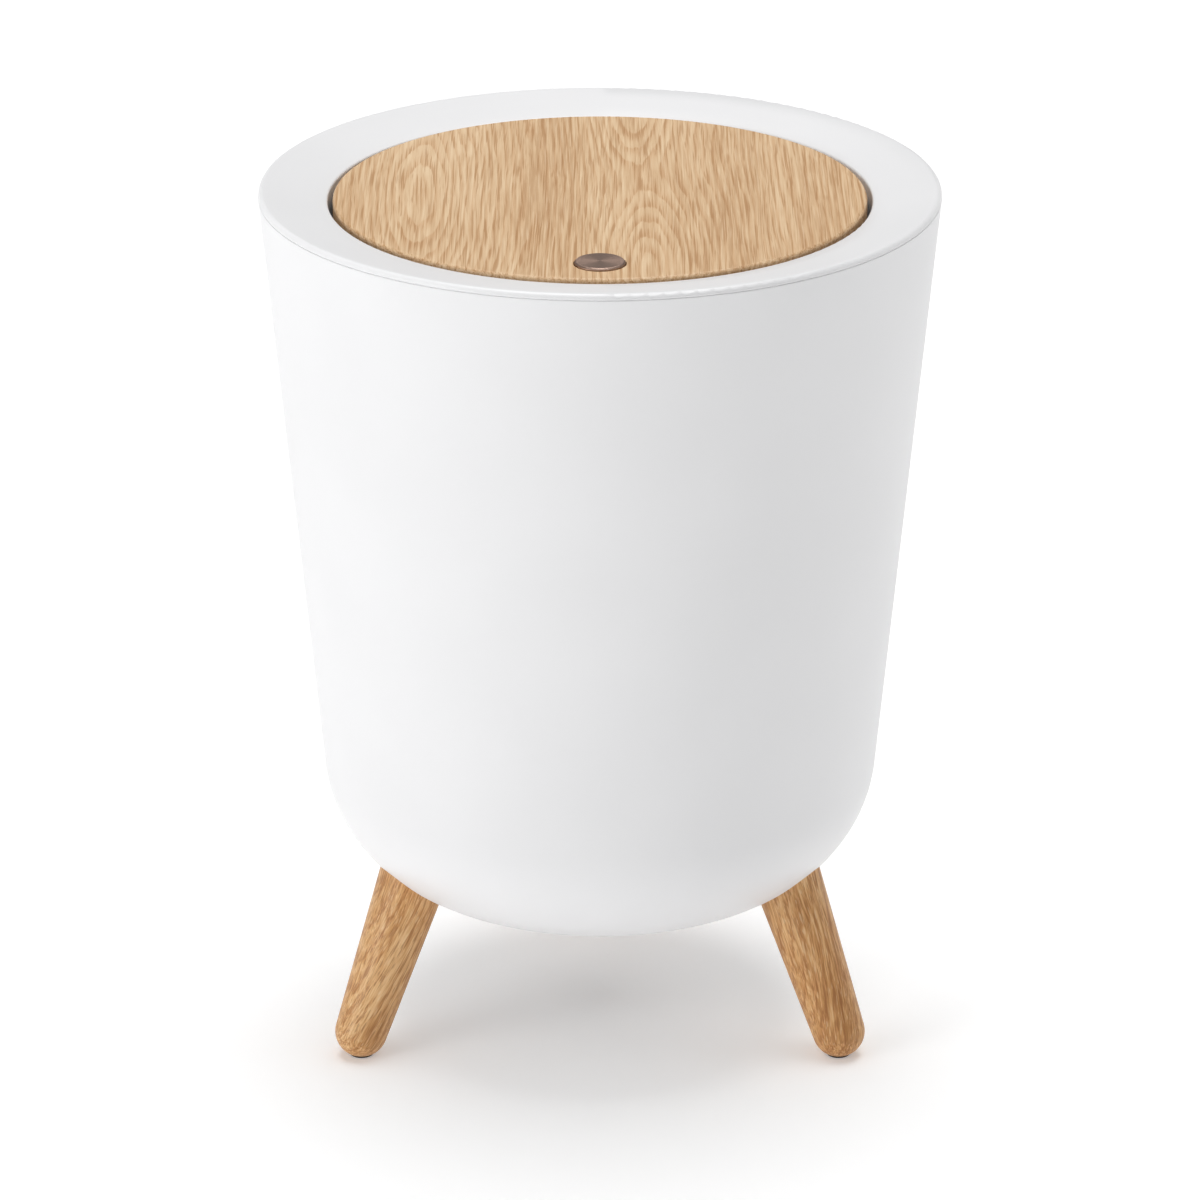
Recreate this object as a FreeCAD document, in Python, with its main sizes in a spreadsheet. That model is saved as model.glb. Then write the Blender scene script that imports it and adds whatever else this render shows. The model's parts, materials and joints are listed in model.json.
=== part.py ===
import FreeCAD, Part
import math
import os

import Sketcher

doc = FreeCAD.newDocument("press_top_bin")
sheet = doc.addObject("Spreadsheet::Sheet", "sizes")

# Lengths in millimetres and angles in degrees, grouped by the piece that they shape.
driving_sizes = {
    # Tapered body
    "rim_radius": 122.5,
    "seam_height": 318.3,
    "body_bottom": 53.0,
    "taper_angle": 5.3,
    "corner_radius": 51.0,
    "body_wall": 2.5,
    "seam_round": 0.4,
    # Legs, their sockets and feet
    "leg_splay": 21.4,
    "leg_taper": 2.7,
    "leg_insertion": 19.6,
    "leg_seat_offset": 26.2,
    "foot_round": 9.7,
    "foot_flat": 1.6,
    "pad_thickness": 1.2,
    "pad_inset": 1.0,
    "socket_clearance": 0.2,
    "socket_wall": 2.5,
    "seat_thickness": 4.0,
    "washer_radius": 6.5,
    "washer_thickness": 1.2,
    "leg_screw_radius": 2.4,
    "leg_screw_grip": 24.0,
    "leg_screw_head": 4.6,
    "leg_screw_head_height": 2.8,
    # Ring that carries the lid
    "ring_width": 24.8,
    "dish_angle": 10.6,
    "crest_round": 1.7,
    "edge_round": 1.0,
    "ring_wall": 2.2,
    "throat_depth": 22.0,
    "spigot_depth": 14.0,
    "spigot_clearance": 0.5,
    # Wooden lid panel
    "lid_gap": 1.8,
    "lid_proud": 0.9,
    "lid_thickness": 7.0,
    "lid_edge_round": 1.5,
    "lid_under_round": 1.2,
    # Hidden hinge at the rear
    "hinge_reach": 13.1,
    "hinge_pin_radius": 1.5,
    "hinge_boss_radius": 4.0,
    "arm_spacing": 18.0,
    "arm_thickness": 4.0,
    "arm_bow_radius": 17.1,
    "arm_width": 3.6,
    "arm_stem_angle": 160.0,
    "arm_foot_length": 16.0,
    "arm_foot_width": 8.0,
    "arm_foot_thickness": 2.5,
    "arm_screw_inset": 4.0,
    "arm_screw_pitch": 6.5,
    "arm_slot_gap": 1.4,
    "lug_gap": 1.0,
    "lug_thickness": 5.0,
    "lip_thickness": 2.6,
    # Lid-opening springs
    "hinge_spring_radius": 2.9,
    "hinge_spring_wire": 0.9,
    "hinge_spring_pitch": 1.7,
    "hinge_spring_arm_gap": 1.2,
    "hinge_spring_leg": 9.3,
    "hinge_spring_tail": 5.0,
    "hinge_spring_bend": 1.4,
    "spring_rib_thickness": 2.0,
    # Lid rests at the front of the ring
    "rest_reach": 11.0,
    "rest_width": 9.0,
    "rest_height": 4.0,
    "bumper_radius": 3.0,
    "bumper_thickness": 1.2,
    # Liner under the panel, with the latch housing
    "liner_inset": 22.0,
    "liner_thickness": 2.0,
    "liner_rim_height": 3.0,
    "liner_rim_width": 1.8,
    "liner_screw_inset": 9.0,
    "housing_wall": 2.7,
    "housing_setback": 4.0,
    "cover_thickness": 2.0,
    "cover_screw_inset": 3.4,
    # Press button
    "button_inset": 17.5,
    "button_radius": 8.9,
    "button_gap": 0.35,
    "button_proud": 0.9,
    "button_thickness": 1.8,
    "button_chamfer": 0.5,
    "button_travel": 3.0,
    "plunger_inset": 0.6,
    "flange_thickness": 1.5,
    "flange_overlap": 1.1,
    "wedge_length": 6.0,
    "wedge_width": 6.0,
    "wedge_tip": 2.1,
    "wedge_dip": 1.4,
    # Latch bolt and its spring
    "bolt_width": 12.0,
    "bolt_thickness": 4.5,
    "bolt_engagement": 1.9,
    "bolt_tail": 8.0,
    "bolt_nose_slope": 2.6,
    "latch_spring_space": 10.0,
    "latch_spring_radius": 1.6,
    "latch_spring_wire": 0.6,
    # Small wood and plastic screws
    "small_screw_radius": 1.4,
    "small_screw_head": 2.8,
    "small_screw_head_height": 1.7,
    "small_screw_bite": 5.0,
    # Fits
    "slide_gap": 0.3,
    "running_gap": 0.05,
    "seat_gap": 0.02,
    "overrun": 2.0,
}

# Bearings about the axis in degrees, counted from the right-hand side; the front is at 270.
# The legs stand evenly apart and follow each other from the left one round to the rear one.
rear_angle = 90.0
leg_names = ("leg_front_left", "leg_front_right", "leg_rear")
leg_step_angle = math.degrees(math.tau) / len(leg_names)
leg_bearings = {
    name: rear_angle + leg_step_angle * number
    for number, name in enumerate(leg_names, start=1)
}
rest_bearings = (230.0, 310.0)
liner_screw_bearings = (0.0, 60.0, 120.0, 180.0, 240.0, 300.0)
latch_spring_turns = 6
hinge_spring_turns = 4

# Shape of a cross recess against its screw's head.
recess_length_share = 1.2
recess_width_share = 0.26
recess_depth_share = 0.55
head_rim_share = 0.4


class Size:
    # A length, angle or ratio, held as its value and as a formula of the sheet's cells.
    def __init__(self, value, text):
        self.value = value
        self.text = text

    def __add__(self, other):
        other = as_size(other)
        return Size(self.value + other.value, f"({self.text} + {other.text})")

    def __sub__(self, other):
        other = as_size(other)
        return Size(self.value - other.value, f"({self.text} - {other.text})")

    def __mul__(self, other):
        other = as_size(other)
        return Size(self.value * other.value, f"({self.text} * {other.text})")

    def __truediv__(self, other):
        other = as_size(other)
        return Size(self.value / other.value, f"({self.text} / {other.text})")

    def __neg__(self):
        return Size(-self.value, f"(0 - {self.text})")


def as_size(number):
    return number if isinstance(number, Size) else Size(number, f"({number!r})")


def sine(angle):
    return Size(math.sin(math.radians(angle.value)), f"sin({angle.text})")


def cosine(angle):
    return Size(math.cos(math.radians(angle.value)), f"cos({angle.text})")


def tangent(angle):
    return Size(math.tan(math.radians(angle.value)), f"tan({angle.text})")


def root(area):
    return Size(math.sqrt(area.value), f"sqrt({area.text})")


def side(hypotenuse, other_side):
    return root(hypotenuse * hypotenuse - other_side * other_side)


class Sizes:
    pass


zero = as_size(0)
dim = Sizes()
for row, (word, number) in enumerate(driving_sizes.items(), start=1):
    sheet.set(f"A{row}", word)
    sheet.set(f"B{row}", str(number))
    sheet.setAlias(f"B{row}", word)
    setattr(dim, word, Size(number, f"sizes.{word}"))
doc.recompute()

# Levels and places that several pieces share.
opening_radius = dim.rim_radius - dim.ring_width
crest_centre = dim.seam_height + dim.seam_round
dish_outer = dim.rim_radius - dim.crest_round - dim.crest_round * sine(dim.dish_angle)
dish_outer_height = crest_centre + dim.crest_round * cosine(dim.dish_angle)
dish_inner = opening_radius + dim.edge_round - dim.edge_round * sine(dim.dish_angle)
dish_inner_height = dish_outer_height - (dish_outer - dish_inner) * tangent(dim.dish_angle)
edge_height = dish_inner_height - dim.edge_round * cosine(dim.dish_angle)
lid_radius = opening_radius - dim.lid_gap
lid_top = dish_inner_height + dim.lid_proud
lid_under = lid_top - dim.lid_thickness
throat_bottom = lid_top - dim.throat_depth
lip_under = dish_inner_height - dim.lip_thickness
inner_rim_radius = dim.rim_radius - dim.body_wall / cosine(dim.taper_angle)
spigot_radius = inner_rim_radius - dim.spigot_clearance
spigot_inner = spigot_radius - dim.ring_wall
spigot_bottom = dim.seam_height - dim.spigot_depth
spigot_shift = dim.spigot_depth * tangent(dim.taper_angle)
hinge_y = lid_radius + dim.hinge_reach
hinge_z = lid_under
liner_radius = lid_radius - dim.liner_inset
liner_under = lid_under - dim.liner_thickness
button_y = dim.button_inset - lid_radius
button_hole = dim.button_radius + dim.button_gap
plunger_radius = dim.button_radius - dim.plunger_inset
flange_radius = button_hole + dim.flange_overlap
cup_radius = flange_radius + dim.slide_gap
flange_top = lid_under - dim.slide_gap
flange_bottom = flange_top - dim.flange_thickness
channel_top = flange_bottom - dim.button_travel - dim.slide_gap
bolt_top = channel_top - dim.slide_gap
bolt_bottom = bolt_top - dim.bolt_thickness
housing_bottom = bolt_bottom - dim.slide_gap
housing_half = cup_radius + dim.housing_wall
housing_front = dim.housing_setback - lid_radius
bolt_rear = button_y + dim.bolt_tail
channel_rear = bolt_rear + dim.latch_spring_space
housing_rear = channel_rear + dim.housing_wall
bolt_nose = -(opening_radius + dim.bolt_engagement)
channel_half = dim.bolt_width / 2 + dim.slide_gap

# The leg's axis runs from the centre of its rounded foot up and inwards to its seat in the body.
corner_rise = dim.seam_height - dim.body_bottom - dim.corner_radius
corner_rise = corner_rise + dim.corner_radius * sine(dim.taper_angle)
corner_centre = dim.rim_radius - dim.corner_radius * cosine(dim.taper_angle)
corner_centre = corner_centre - corner_rise * tangent(dim.taper_angle)
foot_height = dim.foot_round - dim.foot_flat + dim.pad_thickness
leg_length = (dim.body_bottom - foot_height) / cosine(dim.leg_splay) + dim.leg_insertion
foot_reach = corner_centre + dim.leg_seat_offset + leg_length * sine(dim.leg_splay)
leg_root_radius = dim.foot_round / cosine(dim.leg_taper)
leg_top_radius = leg_root_radius + leg_length * tangent(dim.leg_taper)


def bind(thing, **formulas):
    for name, size in formulas.items():
        thing.setExpression(name, size.text)


def place(thing, x, y, z, rotation=FreeCAD.Rotation()):
    thing.Placement = FreeCAD.Placement(FreeCAD.Vector(x.value, y.value, z.value), rotation)
    for axis, size in (("x", x), ("y", y), ("z", z)):
        thing.setExpression(f".Placement.Base.{axis}", size.text)
    return thing


def plane_of(body, role):
    return next(feature for feature in body.Origin.OriginFeatures if feature.Role == role)


def outline(body, name, role, corners):
    # A closed outline of lines and arcs. A corner is x and y, and then, where an arc leads on
    # from it, the arc's radius and the way it turns.
    sketch = body.newObject("Sketcher::SketchObject", name)
    sketch.AttachmentSupport = (plane_of(body, role), [""])
    sketch.MapMode = "FlatFace"
    geometry = []
    ends = []
    for number, corner in enumerate(corners):
        following = corners[(number + 1) % len(corners)]
        start = FreeCAD.Vector(corner[0].value, corner[1].value, 0)
        end = FreeCAD.Vector(following[0].value, following[1].value, 0)
        if len(corner) == 2:
            geometry.append(Part.LineSegment(start, end))
            ends.append((1, 2))
            continue
        radius = corner[2].value
        left = corner[3] == "left"
        chord = end - start
        normal = FreeCAD.Vector(-chord.y, chord.x, 0).normalize()
        rise = math.sqrt(max(radius**2 - (chord.Length / 2) ** 2, 0))
        centre = (start + end) / 2 + normal * (rise if left else -rise)
        first, last = (start, end) if left else (end, start)
        turn = [math.atan2(point.y - centre.y, point.x - centre.x) for point in (first, last)]
        circle = Part.Circle(centre, FreeCAD.Vector(0, 0, 1), radius)
        geometry.append(Part.ArcOfCircle(circle, turn[0], turn[1]))
        ends.append((1, 2) if left else (2, 1))
    sketch.addGeometry(geometry)
    formulas = []
    constraints = []
    for number, corner in enumerate(corners):
        before = (number - 1) % len(corners)
        here = (number, ends[number][0])
        constraints.append(Sketcher.Constraint("Coincident", before, ends[before][1], *here))
        for kind, size, axis in (("DistanceX", corner[0], -2), ("DistanceY", corner[1], -1)):
            if size is zero:
                constraints.append(Sketcher.Constraint("PointOnObject", *here, axis))
                continue
            formulas.append((len(constraints), size))
            constraints.append(Sketcher.Constraint(kind, -1, 1, *here, size.value))
        if len(corner) > 2:
            formulas.append((len(constraints), corner[2]))
            constraints.append(Sketcher.Constraint("Radius", number, corner[2].value))
    sketch.addConstraint(constraints)
    for number, size in formulas:
        sketch.setExpression(f"Constraints[{number}]", size.text)
    return sketch


def turned(name, corners):
    # A round piece, turned about its own upright axis.
    body = doc.addObject("PartDesign::Body", name)
    sketch = outline(body, f"{name}_outline", "XZ_Plane", corners)
    revolution = body.newObject("PartDesign::Revolution", f"{name}_turned")
    revolution.Profile = sketch
    revolution.ReferenceAxis = (sketch, ["V_Axis"])
    return body


def extruded(name, role, corners, width):
    # A piece of one section, as wide on both sides of its middle plane.
    body = doc.addObject("PartDesign::Body", name)
    pad = body.newObject("PartDesign::Pad", f"{name}_pad")
    pad.Profile = outline(body, f"{name}_outline", role, corners)
    pad.SideType = "Symmetric"
    bind(pad, Length=width)
    return body


def block(name, low, high):
    box = doc.addObject("Part::Box", name)
    bind(box, Length=high[0] - low[0], Width=high[1] - low[1], Height=high[2] - low[2])
    return place(box, *low)


def rod(name, radius, length, x, y, z, rotation=FreeCAD.Rotation()):
    cylinder = doc.addObject("Part::Cylinder", name)
    bind(cylinder, Radius=radius, Height=length)
    return place(cylinder, x, y, z, rotation)


along_x = FreeCAD.Rotation(FreeCAD.Vector(0, 1, 0), 90)
upside_down = FreeCAD.Rotation(FreeCAD.Vector(1, 0, 0), 180)


def fused(name, *shapes):
    fusion = doc.addObject("Part::MultiFuse", name)
    fusion.Shapes = list(shapes)
    fusion.Refine = True
    return fusion


def cut(name, base, *tools):
    difference = doc.addObject("Part::Cut", name)
    difference.Base = base
    difference.Tool = tools[0] if len(tools) == 1 else fused(f"{name}_cuts", *tools)
    difference.Refine = True
    return difference


pieces = []


def piece(label, thing):
    thing.Label = label
    pieces.append(thing)
    return thing


def group(label, pattern, places):
    # Copies of one small part, each with its own place and turn.
    copies = []
    for number, (x, y, z, rotation) in enumerate(places):
        link = doc.addObject("App::Link", f"{label}_{number}")
        link.LinkedObject = pattern
        copies.append(place(link, x, y, z, rotation))
    compound = doc.addObject("Part::Compound", f"{label}_set")
    compound.Links = copies
    return piece(label, compound)


def around(bearing, radius):
    turn = math.radians(bearing)
    return radius * math.cos(turn), radius * math.sin(turn)


def on_leg(bearing, distance):
    # The point at a distance along a leg's axis from the centre of its rounded foot.
    x, y = around(bearing, foot_reach - distance * sine(dim.leg_splay))
    return x, y, foot_height + distance * cosine(dim.leg_splay)


def leg_turn(bearing):
    turn = math.radians(bearing)
    return FreeCAD.Rotation(FreeCAD.Vector(math.sin(turn), -math.cos(turn), 0), dim.leg_splay.value)


def lean(thing, bearing, distance):
    place(thing, *on_leg(bearing, distance), leg_turn(bearing))
    thing.setExpression(".Placement.Rotation.Angle", dim.leg_splay.text)
    return thing


def screw(name, radius, head_radius, head_height, length):
    # A domed screw with a cross recess, its head seated at the origin and its point below.
    form = turned(f"{name}_form", [
        (zero, -length),
        (radius, radius - length),
        (radius, zero),
        (head_radius, zero),
        (head_radius, head_height * head_rim_share, head_radius * recess_length_share, "left"),
        (zero, head_height),
    ])
    long = head_radius * recess_length_share
    narrow = head_radius * recess_width_share
    floor = head_height - head_height * recess_depth_share
    bars = []
    for number, (across, along) in enumerate(((long, narrow), (narrow, long))):
        low = (-across / 2, -along / 2, floor)
        bars.append(block(f"{name}_bar_{number}", low, (across / 2, along / 2, head_height + dim.overrun)))
    return cut(name, form, *bars)


# Body: a tapered tub with rounded corners, and a socket for each leg in its floor.
def body_shell():
    taper = dim.taper_angle
    inner_corner = dim.corner_radius - dim.body_wall
    corner_height = dim.body_bottom + dim.corner_radius
    solid = turned("body_solid", [
        (zero, dim.body_bottom),
        (corner_centre, dim.body_bottom, dim.corner_radius, "left"),
        (
            corner_centre + dim.corner_radius * cosine(taper),
            corner_height - dim.corner_radius * sine(taper),
        ),
        (
            dim.rim_radius - dim.seam_round * tangent(taper),
            dim.seam_height - dim.seam_round,
            dim.seam_round,
            "left",
        ),
        (dim.rim_radius - dim.seam_round, dim.seam_height),
        (zero, dim.seam_height),
    ])
    hollow = turned("body_hollow", [
        (zero, dim.body_bottom + dim.body_wall),
        (corner_centre, dim.body_bottom + dim.body_wall, inner_corner, "left"),
        (corner_centre + inner_corner * cosine(taper), corner_height - inner_corner * sine(taper)),
        (inner_rim_radius + dim.overrun * tangent(taper), dim.seam_height + dim.overrun),
        (zero, dim.seam_height + dim.overrun),
    ])
    bosses = []
    pockets = []
    for name, bearing in leg_bearings.items():
        boss_radius = leg_top_radius + dim.socket_clearance + dim.socket_wall
        boss = rod(f"{name}_boss", boss_radius, leg_length + dim.seat_thickness, zero, zero, zero)
        bosses.append(lean(boss, bearing, zero))
        pocket = doc.addObject("Part::Cone", f"{name}_pocket")
        bind(
            pocket,
            Radius1=leg_root_radius + dim.socket_clearance,
            Radius2=leg_top_radius + dim.socket_clearance,
            Height=leg_length,
        )
        pockets.append(lean(pocket, bearing, zero))
        hole_radius = dim.leg_screw_radius + dim.slide_gap
        hole = rod(f"{name}_hole", hole_radius, dim.seat_thickness + dim.overrun * 2, zero, zero, zero)
        pockets.append(lean(hole, bearing, leg_length - dim.overrun))
    space = cut("body_space", hollow, *bosses)
    piece("body_shell", cut("body_with_sockets", cut("body_tub", solid, space), *pockets))


# Legs: turned, tapered, with a rounded foot cut level where its pad sits.
def legs():
    taper = dim.leg_taper
    bore = dim.leg_screw_radius + dim.seat_gap
    bore_floor = leg_length - dim.leg_screw_grip - dim.overrun
    flat_radius = side(dim.foot_round, dim.foot_round - dim.foot_flat)
    pad_radius = flat_radius - dim.pad_inset
    reach = foot_reach + dim.foot_round + dim.overrun
    for name, bearing in leg_bearings.items():
        form = turned(f"{name}_form", [
            (zero, -dim.foot_round, dim.foot_round, "left"),
            (dim.foot_round * cosine(taper), -(dim.foot_round * sine(taper))),
            (leg_top_radius, leg_length),
            (bore, leg_length),
            (bore, bore_floor),
            (zero, bore_floor),
        ])
        floor = block(f"{name}_floor", (-reach, -reach, -dim.foot_round), (reach, reach, dim.pad_thickness))
        piece(name, cut(f"{name}_trimmed", lean(form, bearing, zero), floor))
    washer = turned("washer", [
        (dim.leg_screw_radius + dim.slide_gap, zero),
        (dim.washer_radius, zero),
        (dim.washer_radius, dim.washer_thickness),
        (dim.leg_screw_radius + dim.slide_gap, dim.washer_thickness),
    ])
    seat = leg_length + dim.seat_thickness
    shank = dim.leg_screw_grip + dim.seat_thickness + dim.washer_thickness
    leg_screw = screw(
        "leg_screw", dim.leg_screw_radius, dim.leg_screw_head, dim.leg_screw_head_height, shank
    )
    turns = {bearing: leg_turn(bearing) for bearing in leg_bearings.values()}
    head_seat = seat + dim.washer_thickness
    for label, part, distance in (("leg_washers", washer, seat), ("leg_screws", leg_screw, head_seat)):
        copies = group(label, part, [(*on_leg(angle, distance), turn) for angle, turn in turns.items()])
        for link in copies.Links:
            link.setExpression(".Placement.Rotation.Angle", dim.leg_splay.text)
    pad = turned("pad", [
        (zero, zero),
        (pad_radius, zero),
        (pad_radius, dim.pad_thickness),
        (zero, dim.pad_thickness),
    ])
    level = FreeCAD.Rotation()
    feet = [(*around(bearing, foot_reach), zero, level) for bearing in leg_bearings.values()]
    group("foot_pads", pad, feet)


# Ring: a dished, hollow collar that sits on the body's rim, with a throat round the lid.
def lid_ring():
    dish = dim.dish_angle
    plate = dim.ring_wall / cosine(dish)
    solid = turned("ring_solid", [
        (opening_radius, throat_bottom),
        (spigot_radius - spigot_shift, throat_bottom),
        (spigot_radius - spigot_shift, spigot_bottom),
        (spigot_radius, dim.seam_height),
        (dim.rim_radius - dim.seam_round, dim.seam_height, dim.seam_round, "left"),
        (dim.rim_radius, crest_centre, dim.crest_round, "left"),
        (dish_outer, dish_outer_height),
        (dish_inner, dish_inner_height, dim.edge_round, "left"),
        (opening_radius, edge_height),
    ])
    throat_outer = opening_radius + dim.ring_wall
    hollow_inner_top = dish_inner_height + (throat_outer - dish_inner) * tangent(dish) - plate
    # The hollow ends where the plate's underside meets the spigot's inner face.
    steepness = tangent(dim.taper_angle)
    level_run = spigot_inner - dim.seam_height * steepness - throat_outer
    hollow_outer_top = hollow_inner_top + level_run * tangent(dish)
    hollow_outer_top = hollow_outer_top / (as_size(1) - steepness * tangent(dish))
    hollow_outer = spigot_inner - (dim.seam_height - hollow_outer_top) * steepness
    low = throat_bottom - dim.overrun
    hollow = turned("ring_hollow", [
        (throat_outer, low),
        (spigot_radius + dim.overrun, low),
        (spigot_radius + dim.overrun, spigot_bottom),
        (spigot_inner - spigot_shift, spigot_bottom),
        (hollow_outer, hollow_outer_top),
        (throat_outer, hollow_inner_top),
    ])
    kept = []
    removed = []
    lug_inner = dim.arm_spacing + dim.arm_thickness / 2 + dim.lug_gap
    spring_inner = dim.arm_spacing - dim.arm_thickness / 2 - dim.hinge_spring_arm_gap
    spring_inner = spring_inner - dim.hinge_spring_pitch * hinge_spring_turns
    rib_floor = hinge_z - dim.hinge_spring_radius + dim.hinge_spring_wire / 2 + dim.seat_gap
    rib_front = hinge_y + dim.hinge_spring_radius + dim.hinge_spring_wire
    slot_half = dim.arm_thickness / 2 + dim.arm_slot_gap
    for number, hand in enumerate((-1, 1)):
        lug_low = lug_inner if hand > 0 else -(lug_inner + dim.lug_thickness)
        kept.append(block(
            f"hinge_lug_{number}",
            (lug_low, hinge_y - dim.hinge_boss_radius, hinge_z - dim.hinge_boss_radius),
            (lug_low + dim.lug_thickness, dim.rim_radius, dish_outer_height),
        ))
        rib_low = spring_inner if hand > 0 else -(spring_inner + dim.spring_rib_thickness)
        kept.append(block(
            f"spring_rib_{number}",
            (rib_low, rib_front, rib_floor),
            (rib_low + dim.spring_rib_thickness, dim.rim_radius, dish_outer_height),
        ))
        middle = dim.arm_spacing * hand
        removed.append(block(
            f"arm_slot_{number}",
            (middle - slot_half, hinge_y - dim.arm_bow_radius, low),
            (middle + slot_half, throat_outer + dim.overrun, lip_under),
        ))
    half = lug_inner + dim.lug_thickness + dim.overrun
    removed.append(rod(
        "hinge_pin_bore", dim.hinge_pin_radius + dim.seat_gap, half * 2, -half, hinge_y, hinge_z, along_x
    ))
    keeper_half = channel_half + dim.slide_gap
    removed.append(block(
        "keeper_window",
        (-keeper_half, -(throat_outer + dim.overrun), bolt_bottom - dim.slide_gap * 2),
        (keeper_half, dim.overrun * 2 - opening_radius, bolt_top + dim.slide_gap),
    ))
    space = cut("ring_space", hollow, *kept)
    collar = cut("ring_collar", solid, space)
    rests = []
    rest_top = lid_under - dim.bumper_thickness
    seat_radius = opening_radius - dim.rest_reach / 2
    for number, bearing in enumerate(rest_bearings):
        turn = FreeCAD.Rotation(FreeCAD.Vector(0, 0, 1), bearing)
        shelf = doc.addObject("Part::Box", f"rest_{number}")
        bind(shelf, Length=dim.rest_reach + dim.ring_wall / 2, Width=dim.rest_width, Height=dim.rest_height)
        out_x, out_y = around(bearing, opening_radius - dim.rest_reach)
        side_x, side_y = around(bearing - 90, dim.rest_width / 2)
        rests.append(place(shelf, out_x + side_x, out_y + side_y, rest_top - dim.rest_height, turn))
    piece("lid_ring", cut("ring_pierced", fused("ring_with_rests", collar, *rests), *removed))
    bumper = turned("bumper", [
        (zero, zero),
        (dim.bumper_radius, zero),
        (dim.bumper_radius, dim.bumper_thickness),
        (zero, dim.bumper_thickness),
    ])
    level = FreeCAD.Rotation()
    seats = [(*around(bearing, seat_radius), rest_top, level) for bearing in rest_bearings]
    group("lid_bumpers", bumper, seats)


# Hinge: one pin in the ring's hollow, and two bowed arms that swing round the ring's lip.
def hinge():
    lug_outer = dim.arm_spacing + dim.arm_thickness / 2 + dim.lug_gap + dim.lug_thickness
    piece("hinge_pin", rod(
        "hinge_pin_rod", dim.hinge_pin_radius, lug_outer * 2, -lug_outer, hinge_y, hinge_z, along_x
    ))
    half = dim.arm_width / 2
    bow_outer = dim.arm_bow_radius + half
    bow_inner = dim.arm_bow_radius - half
    boss = dim.hinge_boss_radius
    down = (-sine(dim.arm_stem_angle), cosine(dim.arm_stem_angle))
    back = (-down[1], down[0])

    def on_stem(radius, across):
        along = side(radius, half)
        return down[0] * along + back[0] * across, down[1] * along + back[1] * across

    bores = dim.hinge_pin_radius + dim.running_gap
    foot_rear = hinge_y - dim.arm_bow_radius
    arm_screws = []
    for label, hand in (("hinge_arm_left", -1), ("hinge_arm_right", 1)):
        middle = dim.arm_spacing * hand
        bow = extruded(f"{label}_bow", "YZ_Plane", [
            (-bow_outer, zero, bow_outer, "left"),
            (*on_stem(bow_outer, half),),
            (*on_stem(boss, half), boss, "left"),
            (-(down[0] * boss), -(down[1] * boss), boss, "left"),
            (*on_stem(boss, -half),),
            (*on_stem(bow_inner, -half), bow_inner, "right"),
            (-bow_inner, zero),
        ], dim.arm_thickness)
        place(bow, middle, hinge_y, hinge_z)
        foot_half = dim.arm_foot_width / 2
        foot_front = foot_rear - dim.arm_foot_length
        foot = block(
            f"{label}_foot",
            (middle - foot_half, foot_front, lid_under - dim.arm_foot_thickness),
            (middle + foot_half, foot_rear, lid_under),
        )
        pin_hole = rod(
            f"{label}_bore", bores, dim.arm_thickness + dim.overrun * 2,
            middle - dim.arm_thickness / 2 - dim.overrun, hinge_y, hinge_z, along_x,
        )
        holes = []
        for number in range(2):
            y = foot_front + dim.arm_screw_inset + dim.arm_screw_pitch * number
            hole_radius = dim.small_screw_radius + dim.seat_gap
            depth = dim.arm_foot_thickness + dim.overrun * 2
            low = lid_under - dim.arm_foot_thickness - dim.overrun
            holes.append(rod(f"{label}_hole_{number}", hole_radius, depth, middle, y, low))
            arm_screws.append((middle, y, lid_under - dim.arm_foot_thickness, upside_down))
        piece(label, cut(f"{label}_drilled", fused(f"{label}_blank", bow, foot), pin_hole, *holes))
    return arm_screws


def biarc(start, start_way, end, end_way):
    # Two arcs that leave the start and reach the end along the given ways.
    span = end - start
    both = start_way + end_way
    square = 2 * (1 - start_way.dot(end_way))
    across = span.dot(both)
    reach = (-across + math.sqrt(across**2 + square * span.dot(span))) / square
    first = start + start_way * reach
    last = end - end_way * reach
    joint = (first + last) / 2
    edges = []
    for point, way, far in ((start, start_way, joint), (end, end_way * -1, joint)):
        chord = far - point
        bisector = (way + chord.normalize()).normalize()
        length = (far - point).Length
        middle = point + bisector * (length / 2 / bisector.dot((far - point).normalize()))
        edges.append(Part.Arc(point, middle, far) if way is start_way else Part.Arc(far, middle, point))
    return edges


def coil(centre, across, upward, along, radius, pitch, start, turns):
    # Points and ways of a helix, a quarter turn apart, about an axis through the centre.
    stations = []
    quarters = round(abs(turns) * 4)
    for number in range(quarters + 1):
        angle = math.radians(start) + 2 * math.pi * turns * number / quarters
        spoke = across * math.cos(angle) + upward * math.sin(angle)
        sweep = upward * math.cos(angle) - across * math.sin(angle)
        climb = along * (pitch * turns * number / quarters)
        way = (sweep * math.copysign(2 * math.pi * radius, turns) + along * (pitch * math.copysign(1, turns)))
        stations.append((centre + spoke * radius + climb, way.normalize()))
    return stations


def least_self_gap(path, wire, spacing):
    # Least clear distance between stretches of a wound wire that are not next to each other.
    points = path.discretize(Distance=spacing)
    skip = int(wire * 4 / spacing) + 1
    gaps = [
        (first - second).Length
        for number, first in enumerate(points)
        for second in points[number + skip:]
    ]
    return min(gaps) - wire


def wound(label, stations, wire, lead_in=None, lead_out=None):
    # A sprung wire: a straight or bent lead, the coil, and the lead at the other end.
    edges = list(lead_in or [])
    for (point, way), (following, following_way) in zip(stations, stations[1:]):
        edges += biarc(point, way, following, following_way)
    edges += list(lead_out or [])
    path = Part.Wire([edge.toShape() for edge in edges])
    start = path.Edges[0]
    normal = start.tangentAt(start.FirstParameter)
    section = Part.Wire(Part.Circle(start.valueAt(start.FirstParameter), normal, wire / 2).toShape())
    tube = path.makePipeShell([section], True, False)
    print(label, "least gap to itself", round(least_self_gap(path, wire, wire / 2), 2))
    feature = doc.addObject("Part::Feature", f"{label}_wire")
    feature.Shape = tube
    feature.Placement = FreeCAD.Placement()
    return piece(label, feature)


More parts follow.
